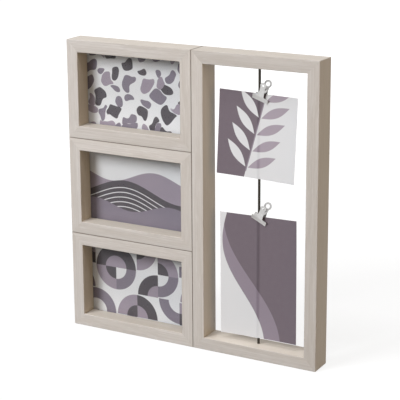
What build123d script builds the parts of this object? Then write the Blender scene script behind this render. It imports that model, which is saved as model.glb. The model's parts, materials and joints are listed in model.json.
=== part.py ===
from build123d import *

import math
import os

# Collage photo frame: three glazed 10 x 15 cm frames in a column, beside a tall open frame with a cord and clips.
# Millimetres. +Z is up and the fronts of the frames face -Y. The origin is on the shelf plane, at the middle of
# the overall width and of the wood's depth.

# Frames
frame_depth = 30.0
rail_width = 15.0
small_frame_width = 170.0
small_frame_height = 120.0
tall_frame_width = 160.0
edge_round = 0.7
small_frame_names = ("bottom", "middle", "top")

# Glazing and backs of the small frames
lip_depth = 21.0
rabbet_lap = 5.5
pane_clearance = 0.5
glass_thickness = 2.0
print_thickness = 0.3
back_thickness = 3.0

# Turn buttons and their screws
button_thickness = 1.0
button_pivot_radius = 4.0
button_tip_radius = 3.0
button_overlap = 9.0
button_clearance = 0.1
screw_diameter = 2.4
screw_clearance = 0.05
screw_depth = 8.0
screw_head_diameter = 5.4
screw_head_height = 1.5
screw_recess_width = 0.9
screw_recess_depth = 0.8

# Sawtooth hangers and their nails
hanger_length = 42.0
hanger_height = 8.5
hanger_sheet = 0.8
hanger_tab = 8.0
hanger_slope = 2.0
hanger_rise = 1.6
hanger_corner = 1.0
tooth_pitch = 2.2
tooth_depth = 1.8
nail_diameter = 1.6
nail_depth = 9.0
nail_clearance = 0.05
nail_head_diameter = 3.6
nail_head_height = 0.7

# Corner nails and dowels
v_nail_leg = 5.0
v_nail_sheet = 0.5
v_nail_length = 10.0
v_nail_inset = 3.0
v_nail_sink = 0.3
dowel_diameter = 5.0
dowel_length = 16.0
dowel_clearance = 0.1
dowel_end_gap = 0.5
dowel_chamfer = 0.5
stack_dowel_spacing = 90.0
side_dowel_spacing = 50.0

# Cord
cord_diameter = 3.0
cord_clearance = 0.1
cord_socket = 8.0
cord_end_gap = 0.5

# Clips
clip_width = 20.0
clip_sheet = 0.6
clip_bend = 0.8
lip_to_pivot = 12.5
lip_to_crease = 2.0
crease_rise = 0.6
bar_height = 5.8
bar_rise = 1.9
bar_corner = 0.8
neck_width = 6.2
neck_base_width = 8.4
notch_round = 1.4
handle_reach = 6.9
handle_rise = 1.5
front_handle_radius = 3.7
front_hole_radius = 1.3
rear_handle_radius = 4.6
rear_hole_radius = 2.5
ear_radius = 1.8
ear_clearance = 0.05
pin_diameter = 1.6
pin_clearance = 0.05
pin_end = 0.15
grip_clearance = 0.1
cord_side_gap = 0.3
spring_wire = 0.4
spring_pin_gap = 0.2
spring_coil_gap = 0.45
spring_turns = 2
spring_lean = 40.0
spring_tip_gap = 0.2

# Cards in the clips
card_width = 98.0
card_thickness = 0.3
card_offset = -0.9
upper_card_height = 99.0
upper_card_turn = 1.6
upper_card_bite = 8.4
upper_clip_drop = 26.8
upper_clip_tilt = 19.0
lower_card_height = 148.0
lower_card_turn = -0.9
lower_card_bite = 6.3
lower_card_lift = 8.1
lower_clip_tilt = 26.0

# Places that follow from the sizes
front_y = -frame_depth / 2
back_y = frame_depth / 2
lip_y = front_y + lip_depth
back_wall = rail_width - rabbet_lap
total_width = small_frame_width + tall_frame_width
total_height = small_frame_height * len(small_frame_names)
left_x = -total_width / 2
seam_x = left_x + small_frame_width
right_x = seam_x + tall_frame_width
small_x = (left_x + seam_x) / 2
tall_x = (seam_x + right_x) / 2
opening_top = total_height - rail_width
dowel_y = front_y + lip_depth / 2
pane_width = small_frame_width - 2 * (back_wall + pane_clearance)
pane_height = small_frame_height - 2 * (back_wall + pane_clearance)
print_y = lip_y + glass_thickness
filler_y = print_y + print_thickness
board_y = back_y - back_thickness
screw_y = back_y + button_clearance + button_thickness + screw_clearance

# Places in a clip, measured from its pivot
half_grip = (cord_diameter + card_thickness + 3 * grip_clearance) / 2
clip_y = -(card_thickness + grip_clearance) / 2
card_y = -(cord_diameter + card_thickness) / 2 - grip_clearance
half_sheet = clip_sheet / 2
bar_top_z = bar_height - lip_to_pivot
lip_y_mid = half_grip + half_sheet
crease_y_mid = lip_y_mid + crease_rise
neck_y_mid = crease_y_mid + bar_rise
handle_slope = handle_rise / handle_reach
outer_ear_x = neck_width / 2 - clip_sheet
inner_ear_x = outer_ear_x - ear_clearance - clip_sheet
coil_radius = pin_diameter / 2 + spring_pin_gap + spring_wire / 2
coil_pitch = spring_wire + spring_coil_gap

TO_BACK = Rot(-90, 0, 0)


def rail_section(rabbeted):
    """Section of a rail: its outer face lies on y = 0 of the sketch, its front on -frame_depth / 2."""
    inner_back = back_wall if rabbeted else rail_width
    corners = [(front_y, 0), (front_y, rail_width), (back_y, inner_back), (back_y, 0)]
    outline = corners[:2]
    if rabbeted:
        outline += [(lip_y, rail_width), (lip_y, back_wall)]
    outline += corners[2:]
    face = make_face(Polyline(*outline, close=True))
    rounded = [v for v in face.vertices() if any((v.center() - Vector(*c)).length < edge_round / 10 for c in corners)]
    return fillet(rounded, edge_round)


def mitred_rail(length, rabbeted):
    """A rail along X with its outer face down and both ends mitred."""
    rail = extrude(Plane.YZ * rail_section(rabbeted), amount=length / 2, both=True)
    for end in (-1, 1):
        mitre = Plane((end * length / 2, 0, 0), z_dir=(end, 0, 1))
        rail = split(rail, bisect_by=mitre, keep=Keep.BOTTOM)
    return rail


def frame_rails(centre_x, width, base_z, height, rabbeted):
    """The four rails of a frame, by side."""
    middle_z = base_z + height / 2
    return {
        "bottom_rail": Pos(centre_x, 0, base_z) * mitred_rail(width, rabbeted),
        "top_rail": Pos(centre_x, 0, base_z + height) * Rot(0, 180, 0) * mitred_rail(width, rabbeted),
        "left_stile": Pos(centre_x - width / 2, 0, middle_z) * Rot(0, 90, 0) * mitred_rail(height, rabbeted),
        "right_stile": Pos(centre_x + width / 2, 0, middle_z) * Rot(0, -90, 0) * mitred_rail(height, rabbeted),
    }


def v_nail(length):
    """A corner nail with its two legs along +X and +Z, driven from the plane y = 0 towards -Y."""
    along = Align.MIN, Align.MAX, Align.CENTER
    up = Align.CENTER, Align.MAX, Align.MIN
    corner = Box(v_nail_sheet, length, v_nail_sheet, align=(Align.CENTER, Align.MAX, Align.CENTER))
    return corner + Box(v_nail_leg, length, v_nail_sheet, align=along) + Box(v_nail_sheet, length, v_nail_leg, align=up)


def corner_places(centre_x, width, base_z, height):
    """Locations of the four corner nails of a frame, each turned so that its legs run along the rails."""
    places = []
    for turn, side, end in ((0, -1, 0), (90, -1, 1), (180, 1, 1), (270, 1, 0)):
        x = centre_x + side * (width / 2 - v_nail_inset)
        z = base_z + (height - v_nail_inset if end else v_nail_inset)
        places.append(Pos(x, back_y, z) * Rot(0, turn, 0))
    return places


def dowel(clearance, end_gap):
    """A dowel along Z, or the hole for one where the clearance and end gap aren't 0."""
    radius = dowel_diameter / 2 + clearance
    body = Cylinder(radius, dowel_length + 2 * end_gap)
    return body if end_gap else chamfer(body.edges().filter_by(GeomType.CIRCLE), dowel_chamfer)


def dowel_places():
    """Locations of the dowels between the frames, each with the two rails that it joins."""
    places = []
    for level, name in enumerate(small_frame_names):
        for side in (-0.5, 0.5):
            z = (level + 0.5) * small_frame_height + side * side_dowel_spacing
            beside = (f"{name}_frame_right_stile", "tall_frame_left_stile")
            places.append((Pos(seam_x, dowel_y, z) * Rot(0, 90, 0), beside))
    for level, (under, over) in enumerate(zip(small_frame_names, small_frame_names[1:]), 1):
        for side in (-0.5, 0.5):
            x = small_x + side * stack_dowel_spacing
            stacked = (f"{under}_frame_top_rail", f"{over}_frame_bottom_rail")
            places.append((Pos(x, dowel_y, level * small_frame_height), stacked))
    return places


def button_places():
    """Locations of the turn buttons by node name, at their pivots, with X pointing over the board."""
    places = {}
    for level, name in enumerate(small_frame_names):
        z = (level + 0.5) * small_frame_height
        places[f"{name}_left_turn_button"] = Pos(left_x + back_wall / 2, back_y, z)
        places[f"{name}_right_turn_button"] = Pos(seam_x - back_wall / 2, back_y, z) * Rot(0, 180, 0)
    return places


def turn_button():
    """A flat pear-shaped button on its pivot hole, lying just behind the plane y = 0."""
    reach = back_wall / 2 + pane_clearance + button_overlap - button_tip_radius
    tip = Pos(reach, 0) * Circle(button_tip_radius)
    plate = make_hull(Circle(button_pivot_radius).edges() + tip.edges())
    plate -= Circle(screw_diameter / 2 + screw_clearance)
    solid = extrude(plate, amount=button_thickness)
    return Pos(0, button_clearance, 0) * TO_BACK * solid


def button_screw():
    """A round-head cross-recess wood screw along +Z, with the underside of its head on z = 0."""
    radius = screw_diameter / 2
    head_radius = screw_head_diameter / 2
    shank_end = -(screw_y - back_y) - screw_depth
    outline = Polyline(
        (0, screw_head_height), (0, shank_end), (radius, shank_end + screw_diameter), (radius, 0), (head_radius, 0)
    )
    dome = RadiusArc((head_radius, 0), (0, screw_head_height), -dome_radius(head_radius, screw_head_height))
    screw = revolve(Plane.XZ * make_face(outline + dome), Axis.Z)
    for turn in (0, 90):
        slot = Box(screw_head_diameter / 2, screw_recess_width, 2 * screw_recess_depth)
        screw -= Pos(0, 0, screw_head_height) * Rot(0, 0, turn) * slot
    return screw


def dome_radius(base, height):
    """Radius of the sphere whose cap has this base radius and height."""
    return (base**2 + height**2) / (2 * height)


def hanger_places():
    """Locations of the two hangers, on the backs of the top rails at one height."""
    z = total_height - back_wall / 2
    return {"left_sawtooth_hanger": Pos(small_x, back_y, z), "right_sawtooth_hanger": Pos(tall_x, back_y, z)}


def sawtooth_hanger():
    """A stamped strip with flat end tabs and a raised middle whose lower edge is toothed."""
    half = hanger_length / 2
    step = half - hanger_tab
    raised = step - hanger_slope
    line = [(-half, 0), (-step, 0), (-raised, hanger_rise), (raised, hanger_rise), (step, 0), (half, 0)]
    outline = line + [(x, y + hanger_sheet) for x, y in reversed(line)]
    strip = extrude(make_face(Polyline(*outline, close=True)), amount=hanger_height / 2, both=True)
    upright = strip.edges().filter_by(Axis.Y).group_by(Axis.X)
    strip = fillet(upright[0] + upright[-1], hanger_corner)
    teeth = int(2 * raised / tooth_pitch)
    notch = Plane.XZ * make_face(Polyline((-tooth_pitch / 2, 0), (0, tooth_depth), (tooth_pitch / 2, 0), close=True))
    cutter = extrude(notch, amount=hanger_rise + 2 * hanger_sheet, both=True)
    for tooth in range(teeth):
        strip -= Pos((tooth - (teeth - 1) / 2) * tooth_pitch, 0, -hanger_height / 2) * cutter
    for x in nail_offsets():
        strip -= Pos(x, 0, 0) * Rot(90, 0, 0) * Cylinder(nail_diameter / 2 + nail_clearance, 4 * hanger_sheet)
    return strip


def nail_offsets():
    """Places of a hanger's two nails along its length."""
    offset = (hanger_length - hanger_tab) / 2
    return (-offset, offset)


def hanger_nail():
    """A flat-head nail along +Z, with the underside of its head on z = 0."""
    shank_length = nail_depth + hanger_sheet
    shank = Cylinder(nail_diameter / 2, shank_length, align=(Align.CENTER, Align.CENTER, Align.MAX))
    head = Cylinder(nail_head_diameter / 2, nail_head_height, align=(Align.CENTER, Align.CENTER, Align.MIN))
    head = fillet(head.edges().group_by(Axis.Z)[-1], nail_head_height / 2)
    return shank + head


def blind_hole(diameter, depth):
    """A drill along -Z from the plane z = 0."""
    return Cylinder(diameter / 2, depth, align=(Align.CENTER, Align.CENTER, Align.MAX))


def jaw_sheet(handle_radius):
    """The bent sheet of a front jaw, before its outline is cut, as wide as the clip."""
    top_z = handle_reach + handle_radius + clip_sheet
    line = FilletPolyline(
        (-lip_y_mid, -lip_to_pivot),
        (-crease_y_mid, lip_to_crease - lip_to_pivot),
        (-neck_y_mid, bar_top_z),
        (-neck_y_mid, 0),
        (-neck_y_mid - handle_slope * top_z, top_z),
        radius=clip_bend,
    )
    return extrude(Plane.YZ * trace(line, clip_sheet), amount=clip_width / 2, both=True)


def jaw_outline(handle_radius, hole_radius):
    """The outline of a jaw seen from the front: a wide bar, a neck and a round handle with a hole."""
    bar = Pos(0, -lip_to_pivot) * Rectangle(clip_width, bar_height, align=(Align.CENTER, Align.MIN))
    bar = fillet(bar.vertices().group_by(Axis.Y)[-1], bar_corner)
    half_neck = neck_width / 2
    half_base = neck_base_width / 2
    side = [(half_base, bar_top_z), (half_neck, 0), (half_neck, handle_reach)]
    neck = make_face(Polyline(*side, *[(-x, z) for x, z in reversed(side)], close=True))
    outline = bar + neck
    inner = [v for v in outline.vertices() if abs(v.Y - bar_top_z) < half_sheet and abs(v.X) < half_base + half_sheet]
    outline = fillet(inner, notch_round) + Pos(0, handle_reach) * Circle(handle_radius)
    return outline - Pos(0, handle_reach) * Circle(hole_radius)


def jaw(handle_radius, hole_radius, ear_x):
    """A front jaw on its pivot at the origin, with two ears that carry the pin."""
    cut = extrude(Plane.XZ * jaw_outline(handle_radius, hole_radius), amount=clip_width, both=True)
    solid = jaw_sheet(handle_radius) & cut
    ear = Pos(-neck_y_mid / 2, 0) * Rectangle(neck_y_mid, 2 * ear_radius) + Circle(ear_radius)
    ear -= Circle(pin_diameter / 2 + pin_clearance)
    plate = extrude(Plane.YZ * ear, amount=clip_sheet)
    return solid + Pos(ear_x, 0, 0) * plate + Pos(-ear_x - clip_sheet, 0, 0) * plate


def clip_pin():
    """The hinge pin of a clip, along X, with eased ends."""
    pin = Cylinder(pin_diameter / 2, neck_width + 2 * pin_end)
    pin = chamfer(pin.edges().filter_by(GeomType.CIRCLE), pin_end)
    return Rot(0, 90, 0) * pin


def coil_state(angle):
    """Point and unit tangent of the spring's coil after this angle of winding, in radians."""
    whole = coil_angle()
    x = (angle - whole / 2) * coil_pitch / (2 * math.pi)
    turn = -math.radians(spring_lean) - angle
    point = Vector(x, coil_radius * math.cos(turn), coil_radius * math.sin(turn))
    slope = coil_pitch / (2 * math.pi)
    tangent = Vector(slope, coil_radius * math.sin(turn), -coil_radius * math.cos(turn))
    return point, tangent.normalized()


def coil_angle():
    """Winding angle of the coil, between its two legs."""
    return math.pi - 2 * math.radians(spring_lean) + spring_turns * 2 * math.pi


def spring_leg():
    """Length of a spring leg that stops just short of the handle it presses."""
    lean = math.radians(spring_lean)
    room = neck_y_mid - half_sheet - spring_wire / 2 - spring_tip_gap
    start = coil_radius * (math.cos(lean) + handle_slope * math.sin(lean))
    return (room - start) / (math.sin(lean) - handle_slope * math.cos(lean))


def biarc(start, end):
    """Two arcs that leave the first state and arrive at the second, tangent to both and to each other."""
    (p0, t0), (p1, t1) = start, end
    chord = p1 - p0
    both = t0 + t1
    a = 2 * (1 - t0.dot(t1))
    b = 2 * chord.dot(both)
    reach = (-b + math.sqrt(b * b + 4 * a * chord.dot(chord))) / (2 * a)
    knot = (p0 + t0 * reach + p1 - t1 * reach) * 0.5
    across = (p1 - t1 * reach - p0 - t0 * reach).normalized()
    return [Edge.make_tangent_arc(p0, t0, knot), Edge.make_tangent_arc(knot, across, p1)]


def clip_spring():
    """A torsion spring round the pin: a coil with two legs that press the handles apart."""
    quarters = 4 * (spring_turns + 1)
    states = [coil_state(coil_angle() * i / quarters) for i in range(quarters + 1)]
    arcs = [edge for pair in zip(states, states[1:]) for edge in biarc(*pair)]
    (first, first_way), (last, last_way) = states[0], states[-1]
    rear_tip = first - first_way * spring_leg()
    front_tip = last + last_way * spring_leg()
    wire = Wire([Edge.make_line(rear_tip, first), *arcs, Edge.make_line(last, front_tip)])
    section = Plane(rear_tip, z_dir=first_way) * Circle(spring_wire / 2)
    return sweep(section, path=wire), least_gap(wire)


def least_gap(wire):
    """Least gap between stretches of the spring's wire that lie at least half a turn apart."""
    steps = 300
    points = [wire.position_at(i / steps) for i in range(steps + 1)]
    apart = int(steps * math.pi * coil_radius / wire.length)
    pairs = ((p, q) for i, p in enumerate(points) for q in points[i + apart :])
    return min((p - q).length for p, q in pairs) - spring_wire


def clip_pivot_x(tilt):
    """How far right of the frame's middle a clip's pivot sits, so that its ears clear the cord."""
    turn = math.radians(tilt)
    ear_side = neck_width / 2 * math.cos(turn) + ear_radius * math.sin(turn)
    return tall_x + cord_diameter / 2 + cord_side_gap + ear_side


def clip_and_card(tilt, pivot_z, card_height, card_turn, card_bite):
    """The pieces of one clip and the card in it, in place."""
    place = Pos(clip_pivot_x(tilt), clip_y, pivot_z) * Rot(0, tilt, 0)
    rear = Rot(0, 0, 180) * jaw(rear_handle_radius, rear_hole_radius, inner_ear_x)
    spring, gap = clip_spring()
    print(f"clip spring: least gap to itself {gap:.2f} mm")
    lip_z = pivot_z - lip_to_pivot * math.cos(math.radians(tilt))
    card = Box(card_width, card_thickness, card_height, align=(Align.CENTER, Align.CENTER, Align.MAX))
    return {
        "clip_front_jaw": place * jaw(front_handle_radius, front_hole_radius, outer_ear_x),
        "clip_rear_jaw": place * rear,
        "clip_pin": place * clip_pin(),
        "clip_spring": place * spring,
        "hanging_card": Pos(tall_x + card_offset, card_y, lip_z + card_bite) * Rot(0, card_turn, 0) * card,
    }


def small_frames(nodes):
    """The three glazed frames, with what lies in their rabbets."""
    for level, name in enumerate(small_frame_names):
        base_z = level * small_frame_height
        for side, rail in frame_rails(small_x, small_frame_width, base_z, small_frame_height, True).items():
            nodes[f"{name}_frame_{side}"] = rail
        layers = {
            "glass": (lip_y, print_y),
            "print": (print_y, filler_y),
            "filler_pad": (filler_y, board_y),
            "back_board": (board_y, back_y),
        }
        for layer, (near, far) in layers.items():
            sheet = Box(pane_width, far - near, pane_height)
            nodes[f"{name}_{layer}"] = Pos(small_x, (near + far) / 2, base_z + small_frame_height / 2) * sheet


def tall_frame(nodes):
    """The open frame with its cord, clips and cards."""
    for side, rail in frame_rails(tall_x, tall_frame_width, 0, total_height, False).items():
        nodes[f"tall_frame_{side}"] = rail
    cord_length = total_height - 2 * rail_width + 2 * cord_socket
    nodes["cord"] = Pos(tall_x, 0, total_height / 2) * Cylinder(cord_diameter / 2, cord_length)
    upper_pivot = opening_top - upper_clip_drop
    lower_lip = rail_width + lower_card_lift + lower_card_height - lower_card_bite
    lower_pivot = lower_lip + lip_to_pivot * math.cos(math.radians(lower_clip_tilt))
    upper = clip_and_card(upper_clip_tilt, upper_pivot, upper_card_height, upper_card_turn, upper_card_bite)
    lower = clip_and_card(lower_clip_tilt, lower_pivot, lower_card_height, lower_card_turn, lower_card_bite)
    for name, pieces in (("upper", upper), ("lower", lower)):
        for piece, solid in pieces.items():
            nodes[f"{name}_{piece}"] = solid
        print(f"{name} clip pivot", [round(v, 3) for v in pieces["clip_pin"].center()])


def cut_from(nodes, cutter, *names):
    """Takes one cutter out of each named rail."""
    for name in names:
        nodes[name] = nodes[name] - cutter


def fasteners(nodes):
    """Corner nails, dowels, screws, buttons, hangers and nails, with their holes in the rails."""
    frames = {"tall": (tall_x, tall_frame_width, 0, total_height)}
    for level, name in enumerate(small_frame_names):
        frames[name] = (small_x, small_frame_width, level * small_frame_height, small_frame_height)
    corner_nails = []
    for name, extent in frames.items():
        own_rails = [node for node in nodes if node.startswith(f"{name}_frame_")]
        for place in corner_places(*extent):
            corner_nails.append(place * Pos(0, -v_nail_sink, 0) * v_nail(v_nail_length))
            cut_from(nodes, place * v_nail(v_nail_length + v_nail_sink), *own_rails)
    nodes["corner_v_nails"] = Compound(children=corner_nails)

    dowel_hole = dowel(dowel_clearance, dowel_end_gap)
    for place, rails in dowel_places():
        cut_from(nodes, place * dowel_hole, *rails)
    nodes["frame_dowels"] = Compound(children=[place * dowel(0, 0) for place, _ in dowel_places()])

    cord_hole = blind_hole(cord_diameter + 2 * cord_clearance, cord_socket + cord_end_gap)
    cut_from(nodes, Pos(tall_x, 0, rail_width) * cord_hole, "tall_frame_bottom_rail")
    cut_from(nodes, Pos(tall_x, 0, opening_top) * Rot(180, 0, 0) * cord_hole, "tall_frame_top_rail")

    pilot = TO_BACK * blind_hole(screw_diameter + 2 * screw_clearance, screw_depth + screw_clearance)
    screws = []
    for name, place in button_places().items():
        nodes[name] = place * turn_button()
        screws.append(place * Pos(0, screw_y - back_y, 0) * TO_BACK * button_screw())
        frame, side, _, _ = name.split("_")
        cut_from(nodes, place * pilot, f"{frame}_frame_{side}_stile")
    nodes["turn_button_screws"] = Compound(children=screws)

    nail_hole = TO_BACK * blind_hole(nail_diameter + 2 * nail_clearance, nail_depth + nail_clearance)
    nails = []
    for (name, place), rail in zip(hanger_places().items(), ("top_frame_top_rail", "tall_frame_top_rail")):
        nodes[name] = place * sawtooth_hanger()
        for x in nail_offsets():
            nails.append(place * Pos(x, hanger_sheet, 0) * TO_BACK * hanger_nail())
            cut_from(nodes, place * Pos(x, 0, 0) * nail_hole, rail)
    nodes["hanger_nails"] = Compound(children=nails)


def main():
    nodes = {}
    small_frames(nodes)
    tall_frame(nodes)
    fasteners(nodes)
    os.makedirs("parts", exist_ok=True)
    for name, shape in nodes.items():
        export_step(shape, f"parts/{name}.step")
    print(len(nodes), "nodes")


main()
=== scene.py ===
"""Visual model of a collage photo frame: glazed frames, a tall frame, a cord, two clips and two cards."""

import json
import logging
import math
from contextlib import contextmanager
from dataclasses import dataclass
from enum import Enum
from functools import partialmethod
from typing import Callable, Iterator, Optional, Union

import bmesh
import bpy
from mathutils import Matrix, Vector
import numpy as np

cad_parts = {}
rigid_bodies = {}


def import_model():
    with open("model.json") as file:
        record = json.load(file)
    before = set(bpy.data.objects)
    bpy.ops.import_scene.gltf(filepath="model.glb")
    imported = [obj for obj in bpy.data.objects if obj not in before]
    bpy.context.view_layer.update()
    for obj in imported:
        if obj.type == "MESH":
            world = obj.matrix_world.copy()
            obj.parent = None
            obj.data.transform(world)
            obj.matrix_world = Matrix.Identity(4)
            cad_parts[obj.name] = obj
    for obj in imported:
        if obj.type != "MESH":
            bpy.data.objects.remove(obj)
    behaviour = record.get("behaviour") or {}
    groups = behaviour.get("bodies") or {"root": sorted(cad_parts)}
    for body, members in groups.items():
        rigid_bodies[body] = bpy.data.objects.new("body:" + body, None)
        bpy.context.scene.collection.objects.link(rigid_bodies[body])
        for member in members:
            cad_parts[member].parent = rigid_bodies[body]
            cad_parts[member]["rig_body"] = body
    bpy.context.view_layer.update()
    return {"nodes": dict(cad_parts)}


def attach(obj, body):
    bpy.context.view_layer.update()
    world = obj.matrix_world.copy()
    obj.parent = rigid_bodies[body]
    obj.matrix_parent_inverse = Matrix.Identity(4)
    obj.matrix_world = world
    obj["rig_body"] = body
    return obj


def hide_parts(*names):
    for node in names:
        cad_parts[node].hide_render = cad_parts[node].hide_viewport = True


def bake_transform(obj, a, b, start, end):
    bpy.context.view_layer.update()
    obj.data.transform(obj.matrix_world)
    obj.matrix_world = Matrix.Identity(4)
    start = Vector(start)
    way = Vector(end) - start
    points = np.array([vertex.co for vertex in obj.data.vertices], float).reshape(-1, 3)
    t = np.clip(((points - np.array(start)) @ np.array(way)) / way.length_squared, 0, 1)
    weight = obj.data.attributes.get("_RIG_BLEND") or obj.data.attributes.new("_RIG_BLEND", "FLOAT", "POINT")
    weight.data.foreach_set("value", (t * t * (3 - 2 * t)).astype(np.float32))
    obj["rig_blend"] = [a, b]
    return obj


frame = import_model()

LOG = logging.getLogger("collage_frame")
MM = 0.001

Colour = tuple[float, float, float, float]
Point = tuple[float, float, float]
Pair = tuple[float, float]
Number = Union["Wire", float]
Shape = bpy.types.Object
Socket = bpy.types.NodeSocket

# Widths, heights and places of the frames in millimetres

SMALL_FRAME = (170.0, 120.0)
TALL_FRAME = (160.0, 360.0)
SEAM_X = 5.0
SMALL_X = SEAM_X - SMALL_FRAME[0] / 2
CORD_X = SEAM_X + TALL_FRAME[0] / 2

# Gap in millimetres and angle in degrees up to which points and faces of a CAD mesh are merged

MERGE_GAP = 0.001
FLAT_ANGLE = 0.4

ORIGIN: Point = (0.0, 0.0, 0.0)
WHITE: Colour = (1.0, 1.0, 1.0, 1.0)
SEEN_RAYS = ("Is Camera Ray", "Is Glossy Ray", "Is Transmission Ray")


def ink(*screen: int) -> Colour:
    """Turn a screen colour into the linear colour that a shader takes, by the usual screen curve.

    Args:
        screen: Red, green and blue, each from 0 to 255.

    Returns:
        The linear colour with an alpha of 1.
    """
    parts = [part / 255 for part in screen]
    linear = [part / 12.92 if part <= 0.04045 else ((part + 0.055) / 1.055) ** 2.4 for part in parts]
    return (linear[0], linear[1], linear[2], 1.0)


# Shader trees


class Wire:
    """A number that changes over a surface, held by one socket of a node tree."""

    def __init__(self, bench: "NodeBench", socket: Socket) -> None:
        """Hold a socket and the bench that adds the nodes after it."""
        self.bench = bench
        self.socket = socket

    def step(self, operation: str, *others: Number, clamp: bool = False) -> "Wire":
        """Put one Math node after this value.

        Args:
            operation: The Math node's operation.
            others: Its second and third operands.
            clamp: Whether the result is held between 0 and 1.

        Returns:
            The result.
        """
        node = self.bench.add("ShaderNodeMath", operation=operation, use_clamp=clamp)
        for socket, value in zip(node.inputs, (self, *others)):
            self.bench.feed(socket, value)
        return Wire(self.bench, node.outputs[0])

    # Each operation of the Math node by its sign or by a plain word
    __add__ = partialmethod(step, "ADD")
    __sub__ = partialmethod(step, "SUBTRACT")
    __mul__ = partialmethod(step, "MULTIPLY")
    __truediv__ = partialmethod(step, "DIVIDE")
    least = partialmethod(step, "MINIMUM")
    most = partialmethod(step, "MAXIMUM")
    size = partialmethod(step, "ABSOLUTE")
    root = partialmethod(step, "SQRT")
    sine = partialmethod(step, "SINE")
    floor = partialmethod(step, "FLOOR")
    modulo = partialmethod(step, "FLOORED_MODULO")
    above = partialmethod(step, "GREATER_THAN")

    def spread(self, low: float, high: float) -> "Wire":
        """Return the value stretched so that low gives 0 and high gives 1."""
        return (self - low).step("DIVIDE", high - low, clamp=True)

    def between(self, low: float, high: float) -> "Wire":
        """Return the value laid out so that 0 gives low and 1 gives high."""
        return self * (high - low) + low

    def inside(self, soft: float = 0.2) -> "Wire":
        """Return 1 where a signed distance is below zero, with a soft rim."""
        return self.step("MULTIPLY_ADD", -0.5 / soft, 0.5, clamp=True)


class NodeBench:
    """Adds nodes to one shader tree and links them."""

    def __init__(self, tree: bpy.types.NodeTree) -> None:
        """Work on a tree."""
        self.tree = tree

    def add(self, kind: str, **settings: object) -> bpy.types.Node:
        """Add a node.

        Args:
            kind: The node's type.
            settings: Properties of the node.

        Returns:
            The new node.
        """
        node = self.tree.nodes.new(kind)
        for name, value in settings.items():
            setattr(node, name, value)
        return node

    def feed(self, socket: Socket, value: object) -> None:
        """Link a wire or a socket into an input, or set a plain value on it.

        Args:
            socket: The input.
            value: The wire, socket or plain value.
        """
        if isinstance(value, Wire):
            value = value.socket
        if isinstance(value, Socket):
            self.tree.links.new(value, socket)
        else:
            socket.default_value = value

    def feed_all(self, node: bpy.types.Node, **values: object) -> None:
        """Feed several inputs of a node, with _ for each space in a name."""
        for label, value in values.items():
            self.feed(node.inputs[label.replace("_", " ")], value)

    def noise(
        self, place: Socket, scale: Number, detail: float, rough: float = 0.5,
        stretch: Optional[Point] = None,
    ) -> Wire:
        """Add a noise texture.

        Args:
            place: The point in millimetres.
            scale: Cells for each millimetre.
            detail: Number of finer layers.
            rough: Strength of the finer layers.
            stretch: Numbers by which the place is multiplied first.

        Returns:
            The noise, round about 0.5.
        """
        if stretch is not None:
            product = self.add("ShaderNodeVectorMath", operation="MULTIPLY")
            self.feed(product.inputs[0], place)
            self.feed(product.inputs[1], stretch)
            place = product.outputs[0]
        node = self.add("ShaderNodeTexNoise")
        self.feed_all(node, Vector=place, Scale=scale, Detail=detail, Roughness=rough)
        return Wire(self, node.outputs[0])

    def mix(self, mask: Wire, under: object, over: object) -> Socket:
        """Lay one colour over another where a mask says so.

        Args:
            mask: 0 for the lower colour, 1 for the upper one.
            under: The lower colour.
            over: The upper colour.

        Returns:
            The mixed colour.
        """
        # A Mix node has its colours at inputs 6 and 7 and at output 2
        node = self.add("ShaderNodeMix", data_type="RGBA")
        self.feed(node.inputs[0], mask)
        self.feed(node.inputs[6], under)
        self.feed(node.inputs[7], over)
        return node.outputs[2]

    def axes(self, place: Socket) -> list[Wire]:
        """Split a place into its three numbers.

        Args:
            place: The place.

        Returns:
            Its X, Y and Z.
        """
        node = self.add("ShaderNodeSeparateXYZ")
        self.feed(node.inputs[0], place)
        return [Wire(self, socket) for socket in node.outputs]

    def point(self, x: Number, y: Number, z: Number = 0.0) -> Socket:
        """Join three numbers into a place.

        Args:
            x: Its X.
            y: Its Y.
            z: Its Z.

        Returns:
            The place.
        """
        node = self.add("ShaderNodeCombineXYZ")
        self.feed_all(node, X=x, Y=y, Z=z)
        return node.outputs[0]

    def rays(self, *kinds: str) -> Wire:
        """Find the rays of some kinds.

        Args:
            kinds: Outputs of a Light Path node.

        Returns:
            1 for a ray of any of the kinds, else 0.
        """
        path = self.add("ShaderNodeLightPath")
        found = Wire(self, path.outputs[kinds[0]])
        for kind in kinds[1:]:
            found = found.most(Wire(self, path.outputs[kind]))
        return found


class Effect(Enum):
    """The surface effects that several finishes share."""

    GRAIN = "straight_grain"
    FIBRE = "fibre_mat"
    WEAR = "handling_wear"
    JOINT = "frame_joints"


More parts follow.
